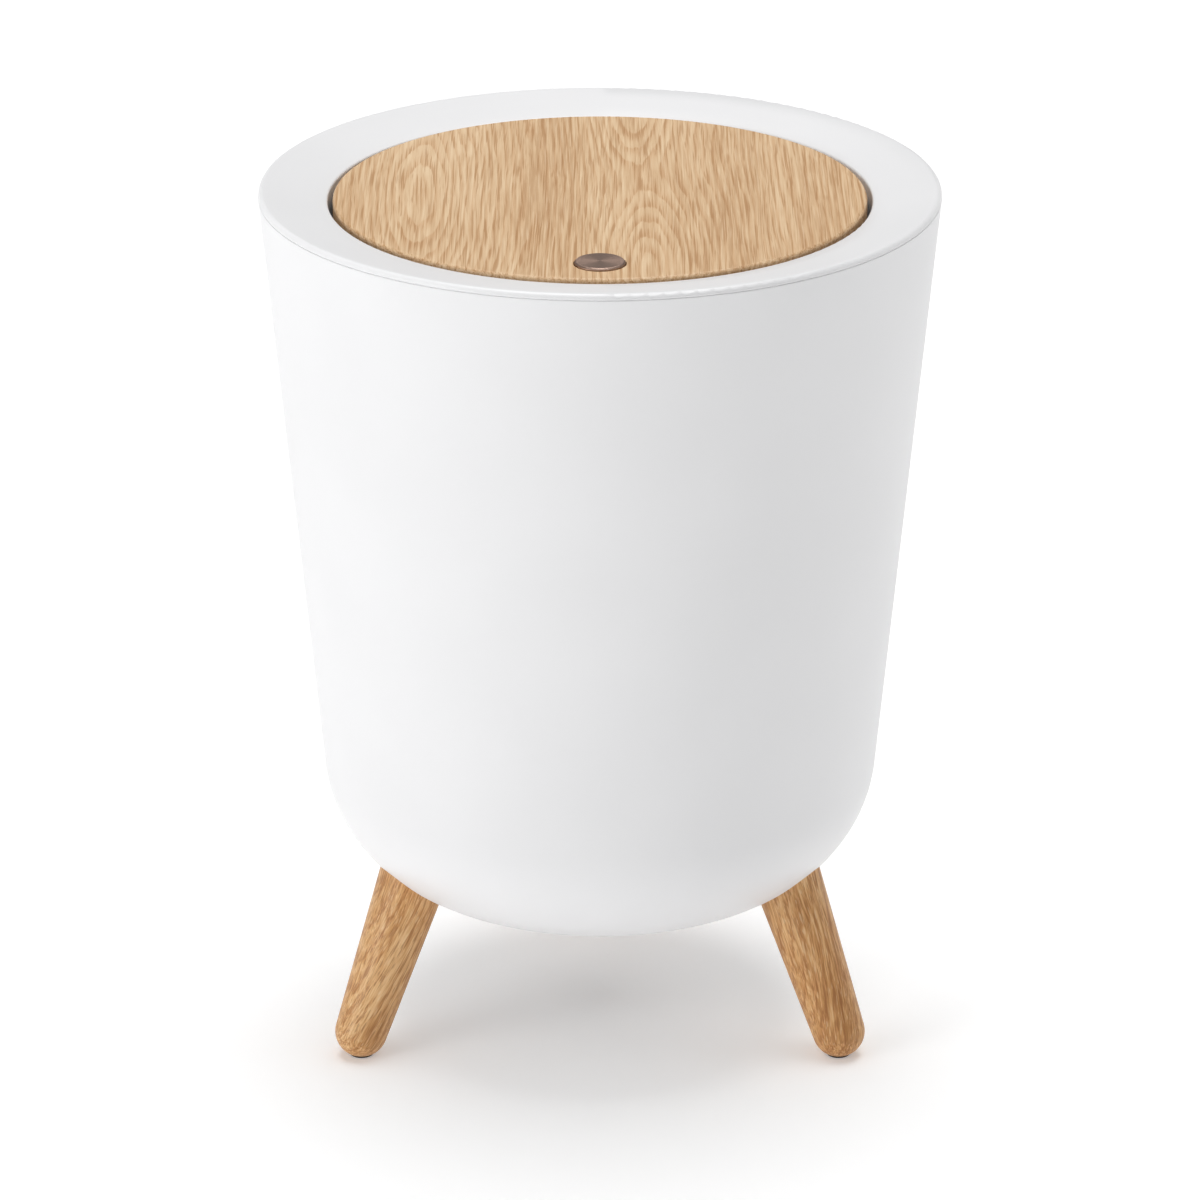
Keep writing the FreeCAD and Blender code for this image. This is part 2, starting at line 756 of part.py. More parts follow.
# Torsion springs on the hinge pin: each pushes its arm, and with it the lid, open.
def hinge_springs():
    radius = dim.hinge_spring_radius.value
    wire = dim.hinge_spring_wire.value
    pitch = dim.hinge_spring_pitch.value
    half = dim.arm_width.value / 2
    stem = math.radians(dim.arm_stem_angle.value)
    down = FreeCAD.Vector(0, -math.sin(stem), math.cos(stem))
    back = FreeCAD.Vector(0, -down.z, down.y)
    centre = FreeCAD.Vector(0, hinge_y.value, hinge_z.value)
    push = down * dim.hinge_spring_leg.value + back * (half + wire / 2 + dim.slide_gap.value)
    push_angle = math.atan2(push.z, push.y)
    leave_angle = push_angle + math.acos(radius / push.Length)
    across = FreeCAD.Vector(0, 1, 0)
    upward = FreeCAD.Vector(0, 0, 1)
    begin = -90.0
    total = (math.degrees(leave_angle) - begin) % 360
    turns = -(hinge_spring_turns - total / 360)
    arm_face = dim.arm_spacing.value - dim.arm_thickness.value / 2
    coil_end = arm_face - dim.hinge_spring_arm_gap.value
    for label, hand in (("hinge_spring_left", -1), ("hinge_spring_right", 1)):
        along = FreeCAD.Vector(hand, 0, 0)
        start_x = coil_end + pitch * turns
        stations = coil(
            centre + along * start_x, across, upward, along * -1, radius, pitch, begin, turns
        )
        first, first_way = stations[0]
        last = stations[-1][0]
        fixed_end = first - first_way * dim.hinge_spring_tail.value
        touch = centre + push + along * (last.x * hand)
        bend = dim.hinge_spring_bend.value
        run = (touch - last).normalize()
        corner_in = touch - run * bend
        corner_out = touch + along * bend
        knee = (corner_in + corner_out) / 2 + (touch - (corner_in + corner_out) / 2) * (math.sqrt(2) - 1)
        hook_end = touch + along * (arm_face - last.x * hand + dim.arm_thickness.value)
        wound(
            label, stations, wire,
            [Part.LineSegment(fixed_end, first)],
            [
                Part.LineSegment(last, corner_in),
                Part.Arc(corner_in, knee, corner_out),
                Part.LineSegment(corner_out, hook_end),
            ],
        )


# Lid panel: a solid wooden disc, drilled for the button and for the screws that hold its pieces.
def lid_panel(arm_screws, liner_screws):
    edge = dim.lid_edge_round
    under = dim.lid_under_round
    disc = turned("panel_disc", [
        (zero, lid_under),
        (lid_radius - under, lid_under, under, "left"),
        (lid_radius, lid_under + under),
        (lid_radius, lid_top - edge, edge, "left"),
        (lid_radius - edge, lid_top),
        (zero, lid_top),
    ])
    holes = [rod(
        "panel_button_hole", button_hole, dim.lid_thickness + dim.overrun * 2,
        zero, button_y, lid_under - dim.overrun,
    )]
    for number, (x, y, z, turn) in enumerate(arm_screws + liner_screws):
        depth = dim.small_screw_bite + dim.overrun / 2
        low = lid_under - dim.overrun
        radius = dim.small_screw_radius + dim.seat_gap
        holes.append(rod(f"panel_pilot_{number}", radius, depth + dim.overrun, x, y, low))
    piece("lid_panel", cut("panel_drilled", disc, *holes))


# Liner: the moulded plate under the panel, with the housing of the button and the latch.
def lid_liner():
    rim_inner = liner_radius - dim.liner_rim_width
    plate = turned("liner_plate", [
        (zero, liner_under),
        (rim_inner, liner_under),
        (rim_inner, liner_under - dim.liner_rim_height),
        (liner_radius, liner_under - dim.liner_rim_height),
        (liner_radius, lid_under),
        (zero, lid_under),
    ])
    housing = block(
        "latch_housing",
        (-housing_half, housing_front, housing_bottom),
        (housing_half, housing_rear, lid_under),
    )
    cup = rod(
        "button_cup", cup_radius, lid_under - channel_top + dim.overrun, zero, button_y, channel_top
    )
    channel = block(
        "bolt_channel",
        (-channel_half, housing_front - dim.overrun, housing_bottom - dim.overrun),
        (channel_half, channel_rear, channel_top),
    )
    liner_screws = []
    cuts = [cup, channel]
    for number, bearing in enumerate(liner_screw_bearings):
        x, y = around(bearing, liner_radius - dim.liner_screw_inset)
        liner_screws.append((x, y, liner_under, upside_down))
        radius = dim.small_screw_radius + dim.seat_gap
        depth = dim.liner_thickness + dim.overrun * 2
        cuts.append(rod(f"liner_hole_{number}", radius, depth, x, y, liner_under - dim.overrun))
    cover_screws = []
    cover_bottom = housing_bottom - dim.cover_thickness
    for x in (dim.cover_screw_inset - housing_half, housing_half - dim.cover_screw_inset):
        for y in (housing_front + dim.cover_screw_inset, housing_rear - dim.cover_screw_inset):
            cover_screws.append((x, y, cover_bottom, upside_down))
    for number, (x, y, z, turn) in enumerate(cover_screws):
        radius = dim.small_screw_radius + dim.seat_gap
        depth = dim.small_screw_bite + dim.overrun / 2 + dim.overrun
        cuts.append(rod(f"housing_pilot_{number}", radius, depth, x, y, housing_bottom - dim.overrun))
    piece("lid_liner", cut("liner_cut", fused("liner_blank", plate, housing), *cuts))
    plate = block(
        "cover_plate",
        (-housing_half, housing_front, cover_bottom),
        (housing_half, housing_rear, housing_bottom),
    )
    holes = []
    for number, (x, y, z, turn) in enumerate(cover_screws):
        radius = dim.small_screw_radius + dim.seat_gap
        depth = dim.cover_thickness + dim.overrun * 2
        holes.append(rod(f"cover_hole_{number}", radius, depth, x, y, cover_bottom - dim.overrun))
    piece("latch_cover", cut("cover_drilled", plate, *holes))
    return liner_screws, cover_screws


# Press button: a metal cap on a plunger, whose wedge draws the latch bolt back.
def press_button():
    top = lid_top + dim.button_proud
    under = top - dim.button_thickness
    chamfer = dim.button_chamfer
    cap = turned("button_cap", [
        (zero, under),
        (dim.button_radius, under),
        (dim.button_radius, top - chamfer),
        (dim.button_radius - chamfer, top),
        (zero, top),
    ])
    piece("press_button", place(cap, zero, button_y, zero))
    stem = turned("plunger_stem", [
        (zero, flange_bottom),
        (flange_radius, flange_bottom),
        (flange_radius, flange_top),
        (plunger_radius, flange_top),
        (plunger_radius, under),
        (zero, under),
    ])
    place(stem, zero, button_y, zero)
    front = button_y - dim.wedge_length / 2
    rear = button_y + dim.wedge_length / 2
    tip = bolt_top - dim.wedge_dip
    wedge = extruded("plunger_wedge", "YZ_Plane", [
        (front, flange_top),
        (front, tip),
        (front + dim.wedge_tip, tip),
        (rear, tip + dim.wedge_length - dim.wedge_tip),
        (rear, flange_top),
    ], dim.wedge_width)
    piece("button_plunger", fused("plunger", stem, wedge))


# Latch bolt: slides forwards into the ring's keeper window, sloped below to ride over its edge.
def latch():
    slope = dim.bolt_nose_slope
    bar = extruded("bolt_bar", "YZ_Plane", [
        (bolt_nose, bolt_top),
        (bolt_nose, bolt_bottom + slope),
        (bolt_nose + slope, bolt_bottom),
        (bolt_rear, bolt_bottom),
        (bolt_rear, bolt_top),
    ], dim.bolt_width)
    wedge_front = button_y - dim.wedge_length / 2
    tip = bolt_top - dim.wedge_dip
    face = wedge_front + dim.wedge_tip + dim.slide_gap * math.sqrt(2)
    above = bolt_top + dim.overrun
    below = bolt_bottom - dim.overrun
    window_front = wedge_front - dim.button_travel - dim.slide_gap
    window = extruded("bolt_window", "YZ_Plane", [
        (window_front, above),
        (window_front, below),
        (face + below - tip, below),
        (face + above - tip, above),
    ], dim.wedge_width + dim.slide_gap * 2)
    piece("latch_bolt", cut("bolt_cut", bar, window))
    wire = dim.latch_spring_wire.value
    middle = (bolt_top.value + bolt_bottom.value) / 2
    room = dim.latch_spring_space.value - wire - dim.seat_gap.value * 2
    first = FreeCAD.Vector(0, bolt_rear.value + wire / 2 + dim.seat_gap.value, middle)
    stations = coil(
        first, FreeCAD.Vector(1, 0, 0), FreeCAD.Vector(0, 0, 1), FreeCAD.Vector(0, 1, 0),
        dim.latch_spring_radius.value, room / latch_spring_turns, 0.0, latch_spring_turns,
    )
    wound("latch_spring", stations, wire)


def fasteners(arm_screws, liner_screws, cover_screws):
    sets = (
        ("arm_screws", arm_screws, dim.arm_foot_thickness),
        ("liner_screws", liner_screws, dim.liner_thickness),
        ("cover_screws", cover_screws, dim.cover_thickness),
    )
    for label, places, grip in sets:
        pattern = screw(
            f"{label}_pattern", dim.small_screw_radius, dim.small_screw_head,
            dim.small_screw_head_height, grip + dim.small_screw_bite,
        )
        group(label, pattern, places)


body_shell()
legs()
lid_ring()
arm_places = hinge()
hinge_springs()
liner_places, cover_places = lid_liner()
lid_panel(arm_places, liner_places)
press_button()
latch()
fasteners(arm_places, liner_places, cover_places)
doc.recompute()

faults = [thing.Label for thing in doc.Objects if {"Invalid", "Error"} & set(thing.State)]
for thing in pieces:
    if thing.Shape.isNull() or not thing.Shape.isValid():
        faults.append(thing.Label)
if faults:
    raise RuntimeError(f"not built: {faults}")

os.makedirs("parts", exist_ok=True)
for thing in pieces:
    thing.Shape.exportStep(f"parts/{thing.Label}.step")
    print(thing.Label, len(thing.Shape.Solids), round(thing.Shape.Volume, 1))
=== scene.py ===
import bmesh
import bpy
import json
import math
import numpy as np
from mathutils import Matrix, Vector


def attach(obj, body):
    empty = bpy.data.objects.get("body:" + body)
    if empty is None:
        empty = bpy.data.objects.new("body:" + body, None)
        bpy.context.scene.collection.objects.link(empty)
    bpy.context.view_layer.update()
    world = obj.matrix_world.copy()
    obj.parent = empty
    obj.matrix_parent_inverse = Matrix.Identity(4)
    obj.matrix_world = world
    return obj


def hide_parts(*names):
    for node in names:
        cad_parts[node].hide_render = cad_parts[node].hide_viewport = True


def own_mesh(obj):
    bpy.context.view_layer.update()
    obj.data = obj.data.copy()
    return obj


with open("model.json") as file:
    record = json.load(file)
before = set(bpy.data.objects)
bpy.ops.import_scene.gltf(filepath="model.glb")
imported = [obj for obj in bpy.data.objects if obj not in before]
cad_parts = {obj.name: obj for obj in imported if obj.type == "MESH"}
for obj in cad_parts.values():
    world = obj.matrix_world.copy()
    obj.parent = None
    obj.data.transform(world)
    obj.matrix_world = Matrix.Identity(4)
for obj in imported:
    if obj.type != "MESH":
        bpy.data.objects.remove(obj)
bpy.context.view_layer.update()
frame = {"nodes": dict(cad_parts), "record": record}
mm = 0.001
print("frame loaded:", len(frame["nodes"]), "nodes")


# sRGB hex to the linear values that the shaders take
def toLinear(hexColour):
    srgb = np.array([int(hexColour[i:i + 2], 16) for i in (1, 3, 5)]) / 255
    linear = np.where(srgb <= 0.04045, srgb / 12.92, ((srgb + 0.055) / 1.055) ** 2.4)
    return (*linear.tolist(), 1.0)


# one node with its settings and links: a link is (node, socket), and in0, in1 are sockets by number
def addNode(tree, kind, settings=None, **inputs):
    node = tree.nodes.new(kind)
    for name, value in (settings or {}).items():
        setattr(node, name, value)
    for name, value in inputs.items():
        key = int(name[2:]) if name.startswith("in") and name[2:].isdigit() else name.replace("_", " ")
        if isinstance(value, tuple) and hasattr(value[0], "outputs"):
            tree.links.new(value[0].outputs[value[1]], node.inputs[key])
        else:
            node.inputs[key].default_value = value
    return node


def newMaterial(name):
    material = bpy.data.materials.new(name)
    material.use_nodes = True
    tree = material.node_tree
    tree.nodes.clear()
    output = addNode(tree, "ShaderNodeOutputMaterial")
    return material, tree, output


def colourRamp(tree, factor, stops):
    ramp = addNode(tree, "ShaderNodeValToRGB", None, Fac=factor)
    elements = ramp.color_ramp.elements
    while len(elements) < len(stops):
        elements.new(0.5)
    for element, (place, colour) in zip(elements, stops):
        element.position = place
        element.color = toLinear(colour)
    return ramp


# ABS, injection moulded and lightly textured: soft, wide highlights over a fine even grain
plastic = {"flowMm": 55, "flowFrom": 0.35, "flowTo": 0.65, "glossSpread": 0.04, "bump": 0.05, "bumpMm": 0.05,
           "ior": 1.53}


def mouldedPlastic(name, colour, shade, roughness, grainMm):
    material, tree, output = newMaterial(name)
    place = addNode(tree, "ShaderNodeTexCoord")
    grain = addNode(tree, "ShaderNodeTexNoise", None, Vector=(place, "Object"),
                    Scale=1 / (grainMm * mm), Detail=2.0, Roughness=0.6)
    # slow flow marks, tens of millimetres long
    flow = addNode(tree, "ShaderNodeTexNoise", None, Vector=(place, "Object"),
                   Scale=1 / (plastic["flowMm"] * mm), Detail=1.0)
    tone = colourRamp(tree, (flow, "Fac"), [(plastic["flowFrom"], shade), (plastic["flowTo"], colour)])
    gloss = addNode(tree, "ShaderNodeMapRange", None, Value=(grain, "Fac"),
                    To_Min=roughness - plastic["glossSpread"], To_Max=roughness + plastic["glossSpread"])
    bump = addNode(tree, "ShaderNodeBump", None, Height=(grain, "Fac"), Strength=plastic["bump"],
                   Distance=plastic["bumpMm"] * mm)
    shader = addNode(tree, "ShaderNodeBsdfPrincipled", None, Base_Color=(tone, "Color"),
                     Roughness=(gloss, "Result"), Normal=(bump, "Normal"), IOR=plastic["ior"])
    tree.links.new(shader.outputs[0], output.inputs[0])
    return material


# oak, sawn and lacquered: long oval year rings, each with rows of dark pores, and pale flecks between them
oak = {"earlyEnd": 0.7, "lateStart": 0.86, "poreSoft": 0.12, "fleckStart": 0.42, "fleckFull": 0.3,
       "driftTone": 0.6, "toneStops": (0.6, 0.8, 1.0), "smoother": 0.06, "rougher": 0.08, "bump": 0.3,
       "bumpMm": 0.08, "ior": 1.5}


def sawnWood(name, wood):
    material, tree, output = newMaterial(name)
    if wood["along"] == "board":
        place, socket = addNode(tree, "ShaderNodeTexCoord"), "Object"
    else:
        place, socket = addNode(tree, "ShaderNodeAttribute", {"attribute_name": wood["along"]}), "Vector"
    # the grain runs along y: each noise is drawn out that way by shrinking y
    calm = addNode(tree, "ShaderNodeMapping", None, Vector=(place, socket), Location=wood["shift"],
                   Scale=(1.0, wood["calm"], 1.0))
    drift = addNode(tree, "ShaderNodeTexNoise", None, Vector=(calm, "Vector"),
                    Scale=1 / (wood["driftMm"] * mm), Detail=3.0, Roughness=0.5)
    # fibres wander: the point plus sway times the drift noise, sideways only
    sway = wood["swayMm"] * mm
    moved = addNode(tree, "ShaderNodeVectorMath", {"operation": "MULTIPLY_ADD"}, in0=(drift, "Color"),
                    in1=(sway, 0.0, sway), in2=(place, socket))
    # year rings: the least distance to any heart, with y shrunk so that the rings are long ovals
    nearest = None
    for heart in wood["hearts"]:
        x, y, z = heart["centre"]
        aside = addNode(tree, "ShaderNodeVectorMath", {"operation": "MULTIPLY_ADD"}, in0=(moved, 0),
                        in1=(1.0, 1 / heart["long"], 1.0),
                        in2=(-x * mm, -y * mm / heart["long"], -z * mm))
        away = addNode(tree, "ShaderNodeVectorMath", {"operation": "LENGTH"}, in0=(aside, 0))
        if nearest is None:
            nearest = (away, "Value")
        else:
            least = addNode(tree, "ShaderNodeMath", {"operation": "SMOOTH_MIN"}, in0=nearest,
                            in1=(away, "Value"), in2=wood["blendMm"] * mm)
            nearest = (least, 0)
    years = addNode(tree, "ShaderNodeMath", {"operation": "MULTIPLY"}, in0=nearest,
                    in1=1 / (wood["ringMm"] * mm))
    uneven = addNode(tree, "ShaderNodeMath", {"operation": "MULTIPLY_ADD"}, in0=(drift, "Fac"),
                     in1=wood["uneven"], in2=(years, 0))
    # good and bad years, and a ripple of a few millimetres, keep the rings from being even
    rippleMap = addNode(tree, "ShaderNodeMapping", None, Vector=(place, socket), Location=wood["shift"],
                        Scale=(1.0, wood["rippleSlim"], 1.0))
    ripple = addNode(tree, "ShaderNodeTexNoise", None, Vector=(rippleMap, "Vector"),
                     Scale=1 / (wood["rippleMm"] * mm), Detail=3.0, Roughness=0.6)
    rippled = addNode(tree, "ShaderNodeMath", {"operation": "MULTIPLY_ADD"}, in0=(ripple, "Fac"),
                      in1=wood["ripple"], in2=(uneven, 0))
    year = addNode(tree, "ShaderNodeMath", {"operation": "FRACT"}, in0=(rippled, 0))
    # early wood: dark where a year starts, fading as the year goes on, and soft where the next begins
    fading = addNode(tree, "ShaderNodeMapRange", {"interpolation_type": "SMOOTHSTEP"}, Value=(year, 0),
                     From_Min=0.0, From_Max=oak["earlyEnd"], To_Min=1.0, To_Max=0.0)
    rising = addNode(tree, "ShaderNodeMapRange", {"interpolation_type": "SMOOTHSTEP"}, Value=(year, 0),
                     From_Min=oak["lateStart"], From_Max=1.0)
    early = addNode(tree, "ShaderNodeMath", {"operation": "MAXIMUM"}, in0=(fading, "Result"),
                    in1=(rising, "Result"))
    fibreMap = addNode(tree, "ShaderNodeMapping", None, Vector=(moved, 0), Location=wood["shift"],
                       Scale=(1.0, wood["fibreSlim"], 1.0))
    fibre = addNode(tree, "ShaderNodeTexNoise", None, Vector=(fibreMap, "Vector"),
                    Scale=1 / (wood["fibreMm"] * mm), Detail=3.0, Roughness=0.6)
    # real pores are about 0.25 mm wide; they are drawn coarser so that a picture of the whole bin holds them
    poreMap = addNode(tree, "ShaderNodeMapping", None, Vector=(moved, 0), Location=wood["shift"],
                      Scale=(1.0, wood["poreSlim"], 1.0))
    pores = addNode(tree, "ShaderNodeTexNoise", None, Vector=(poreMap, "Vector"),
                    Scale=1 / (wood["poreMm"] * mm), Detail=1.5, Roughness=0.5)
    dense = addNode(tree, "ShaderNodeMath", {"operation": "MULTIPLY_ADD"}, in0=(early, 0),
                    in1=wood["earlyPores"], in2=(pores, "Fac"))
    pore = addNode(tree, "ShaderNodeMapRange", {"interpolation_type": "SMOOTHSTEP"}, Value=(dense, 0),
                   From_Min=wood["poreStart"], From_Max=wood["poreStart"] + oak["poreSoft"])
    fleck = addNode(tree, "ShaderNodeMapRange", {"interpolation_type": "SMOOTHSTEP"}, Value=(pores, "Fac"),
                    From_Min=oak["fleckStart"], From_Max=oak["fleckFull"])
    tone = addNode(tree, "ShaderNodeMath", {"operation": "MULTIPLY_ADD"}, in0=(drift, "Fac"),
                   in1=oak["driftTone"], in2=(fibre, "Fac"))
    tones = (wood["dark"], wood["mid"], wood["light"])
    base = colourRamp(tree, (tone, 0), list(zip(oak["toneStops"], tones)))
    colour = (base, "Color")
    for mask, share, tint, blend in (((early, 0), wood["ringShare"], wood["ringColour"], "MULTIPLY"),
                                     ((fleck, "Result"), wood["fleckShare"], wood["fleckColour"], "MIX"),
                                     ((pore, "Result"), wood["poreShare"], wood["poreColour"], "MIX")):
        part = addNode(tree, "ShaderNodeMath", {"operation": "MULTIPLY"}, in0=mask, in1=share)
        layer = addNode(tree, "ShaderNodeMix", {"data_type": "RGBA", "blend_type": blend}, in0=(part, 0),
                        in6=colour, in7=toLinear(tint))
        colour = (layer, 2)
    rough = addNode(tree, "ShaderNodeMapRange", None, Value=(fibre, "Fac"),
                    To_Min=wood["roughness"] - oak["smoother"], To_Max=wood["roughness"] + oak["rougher"])
    bump = addNode(tree, "ShaderNodeBump", {"invert": True}, Height=(pore, "Result"), Strength=oak["bump"],
                   Distance=oak["bumpMm"] * mm)
    shader = addNode(tree, "ShaderNodeBsdfPrincipled", None, Base_Color=colour,
                     Roughness=(rough, "Result"), Normal=(bump, "Normal"), IOR=oak["ior"])
    tree.links.new(shader.outputs[0], output.inputs[0])
    return material


# aluminium, spun and anodised brown: fine rings that fan the light out from the centre; the real rings are
# finer than a pixel, so they are drawn about 0.35 mm apart
spunButton = {"grooveMm": 0.35, "round": 0.02, "toneFrom": 0.3, "toneTo": 0.7, "dark": "#a1887a",
              "light": "#bda192", "roughness": 0.42, "glossSpread": 0.08, "bump": 0.2, "bumpMm": 0.02,
              "anisotropic": 0.35}


def spunMetal(name, spun):
    material, tree, output = newMaterial(name)
    place = addNode(tree, "ShaderNodeUVMap", {"uv_map": "spin"})
    lines = addNode(tree, "ShaderNodeMapping", None, Vector=(place, "UV"), Scale=(spun["round"], 1.0, 1.0))
    grooves = addNode(tree, "ShaderNodeTexNoise", None, Vector=(lines, "Vector"),
                      Scale=1 / (spun["grooveMm"] * mm), Detail=3.0, Roughness=0.7)
    tone = colourRamp(tree, (grooves, "Fac"),
                      [(spun["toneFrom"], spun["dark"]), (spun["toneTo"], spun["light"])])
    rough = addNode(tree, "ShaderNodeMapRange", None, Value=(grooves, "Fac"),
                    To_Min=spun["roughness"] - spun["glossSpread"],
                    To_Max=spun["roughness"] + spun["glossSpread"])
    bump = addNode(tree, "ShaderNodeBump", None, Height=(grooves, "Fac"), Strength=spun["bump"],
                   Distance=spun["bumpMm"] * mm)
    spin = addNode(tree, "ShaderNodeTangent", {"direction_type": "UV_MAP", "uv_map": "spin"})
    shader = addNode(tree, "ShaderNodeBsdfPrincipled", None, Base_Color=(tone, "Color"), Metallic=1.0,
                     Roughness=(rough, "Result"), Normal=(bump, "Normal"), Anisotropic=spun["anisotropic"],
                     Tangent=(spin, "Tangent"))
    tree.links.new(shader.outputs[0], output.inputs[0])
    return material


# steel wire and sheet, drawn or zinc plated: a pale cold metal with cloudy patches
steel = {"cloudMm": 2.5, "toneFrom": 0.35, "toneTo": 0.65, "smoother": 0.06, "rougher": 0.1}


def platedSteel(name, light, dark, roughness):
    material, tree, output = newMaterial(name)
    place = addNode(tree, "ShaderNodeTexCoord")
    cloud = addNode(tree, "ShaderNodeTexNoise", None, Vector=(place, "Object"),
                    Scale=1 / (steel["cloudMm"] * mm), Detail=3.0)
    tone = colourRamp(tree, (cloud, "Fac"), [(steel["toneFrom"], dark), (steel["toneTo"], light)])
    rough = addNode(tree, "ShaderNodeMapRange", None, Value=(cloud, "Fac"),
                    To_Min=roughness - steel["smoother"], To_Max=roughness + steel["rougher"])
    shader = addNode(tree, "ShaderNodeBsdfPrincipled", None, Base_Color=(tone, "Color"), Metallic=1.0,
                     Roughness=(rough, "Result"))
    tree.links.new(shader.outputs[0], output.inputs[0])
    return material


# rubber, moulded: dull and dark with a fine tooth
rubber = {"toothMm": 0.6, "toneFrom": 0.3, "toneTo": 0.7, "bump": 0.2, "bumpMm": 0.1, "roughness": 0.75,
          "ior": 1.52}


def mouldedRubber(name, light, dark):
    material, tree, output = newMaterial(name)
    place = addNode(tree, "ShaderNodeTexCoord")
    tooth = addNode(tree, "ShaderNodeTexNoise", None, Vector=(place, "Object"),
                    Scale=1 / (rubber["toothMm"] * mm), Detail=3.0)
    tone = colourRamp(tree, (tooth, "Fac"), [(rubber["toneFrom"], dark), (rubber["toneTo"], light)])
    bump = addNode(tree, "ShaderNodeBump", None, Height=(tooth, "Fac"), Strength=rubber["bump"],
                   Distance=rubber["bumpMm"] * mm)
    shader = addNode(tree, "ShaderNodeBsdfPrincipled", None, Base_Color=(tone, "Color"),
                     Roughness=rubber["roughness"], Normal=(bump, "Normal"), IOR=rubber["ior"])
    tree.links.new(shader.outputs[0], output.inputs[0])
    return material


# hearts are the middles of year rings, in mm: the lid shows four of them, and a leg is cut beside one
lidWood = {"along": "board", "shift": (0.013, 0.02, 0.0), "calm": 0.11, "driftMm": 22, "swayMm": 6,
           "hearts": [{"centre": (-61, 4, 328), "long": 6.5}, {"centre": (20, -86, 325), "long": 6.0},
                      {"centre": (17, 124, 327), "long": 6.5}, {"centre": (130, 10, 320), "long": 8.0}],
           "blendMm": 16, "ringMm": 2.3, "uneven": 2.0, "rippleMm": 6, "rippleSlim": 0.07, "ripple": 1.1,
           "ringShare": 0.29, "ringColour": "#dcb98e", "dark": "#c7a177", "mid": "#d9b78e",
           "light": "#e6c9a3",
           "fibreMm": 0.9, "fibreSlim": 0.02, "poreSlim": 0.016, "poreMm": 0.5, "earlyPores": 0.12,
           "poreStart": 0.59, "poreShare": 0.54, "poreColour": "#a67440", "fleckShare": 0.35,
           "fleckColour": "#eed5b2", "roughness": 0.52}
legWood = {"along": "grain", "shift": (0.0, 0.0, 0.0), "calm": 0.16, "driftMm": 13, "swayMm": 7,
           "hearts": [{"centre": (15, 15, 8), "long": 9.0}],
           "ringMm": 2.4, "uneven": 1.8, "rippleMm": 4, "rippleSlim": 0.2, "ripple": 1.2,
           "ringShare": 0.28, "ringColour": "#d6aa78", "dark": "#b17a41", "mid": "#d09b60",
           "light": "#e9bf89",
           "fibreMm": 0.8, "fibreSlim": 0.05, "poreSlim": 0.075, "poreMm": 0.5, "earlyPores": 0.11,
           "poreStart": 0.57, "poreShare": 0.55, "poreColour": "#955d2a", "fleckShare": 0.35,
           "fleckColour": "#f3d9ae", "roughness": 0.45}

white = mouldedPlastic("abs_white_moulded", "#ededee", "#ebebec", roughness=0.4, grainMm=0.5)
acetal = mouldedPlastic("acetal_natural_moulded", "#dedbd0", "#d8d5ca", roughness=0.42, grainMm=0.4)
silicone = mouldedPlastic("silicone_clear_moulded", "#d6d6d2", "#cfcfca", roughness=0.55, grainMm=0.4)
lidBoard = sawnWood("oak_flat_sawn_lacquered", lidWood)
legBoard = sawnWood("oak_turned_lacquered", legWood)
brownCap = spunMetal("aluminium_spun_anodised_brown", spunButton)
zinc = platedSteel("steel_zinc_plated", "#b9bcbf", "#a2a5a8", roughness=0.3)
springWire = platedSteel("steel_drawn_wire", "#8f9193", "#7b7d80", roughness=0.28)
padRubber = mouldedRubber("rubber_dark_moulded", "#2c2621", "#1f1a16")
slotLooks = {"white_plastic": white, "natural_acetal": acetal, "clear_silicone": silicone,
             "zinc_steel": zinc, "spring_steel": springWire, "dark_rubber": padRubber, "lid_wood": lidBoard,
             "leg_wood": legBoard, "brown_metal": brownCap}
print("materials made:", len(slotLooks))


# straight run from a to b with points gathered at both ends, so that shading stays true near an edge
def run(a, b, count):
    share = (1 - np.cos(np.linspace(0, np.pi, count))) / 2
    return np.array(a) + share[:, None] * (np.array(b) - np.array(a))


# arc about a centre: centre plus radius times the cosine and sine of an even sweep, in degrees
def sweep(centre, radius, start, end, count):
    turn = np.radians(np.linspace(start, end, count))
    return np.array(centre) + radius * np.stack([np.cos(turn), np.sin(turn)], axis=1)


samePoint = 1e-9  # mm between two points of a profile that count as one


def joinRuns(*runs):
    line = np.concatenate(runs)
    keep = np.append(True, np.linalg.norm(np.diff(line, axis=0), axis=1) > samePoint)
    return line[keep]


# profile (radius, height) carried round the upright axis: radius times cosine, radius times sine, height
def turnedGrid(profile, columns):
    turn = np.linspace(0, 2 * np.pi, columns, endpoint=False)
    radius, height = profile[:, 0][:, None], profile[:, 1][:, None]
    return np.stack([radius * np.cos(turn), radius * np.sin(turn), height + 0 * turn], axis=2)


# quads of a grid that closes on itself round each row
def ringQuads(rows, columns):
    ids = np.arange(rows * columns).reshape(rows, columns)
    ids = np.concatenate([ids, ids[:, :1]], axis=1)
    return np.stack([ids[:-1, :-1], ids[:-1, 1:], ids[1:, 1:], ids[1:, :-1]], axis=2).reshape(-1, 4)


weld = 1e-7  # metres within which two corners of a new mesh become one


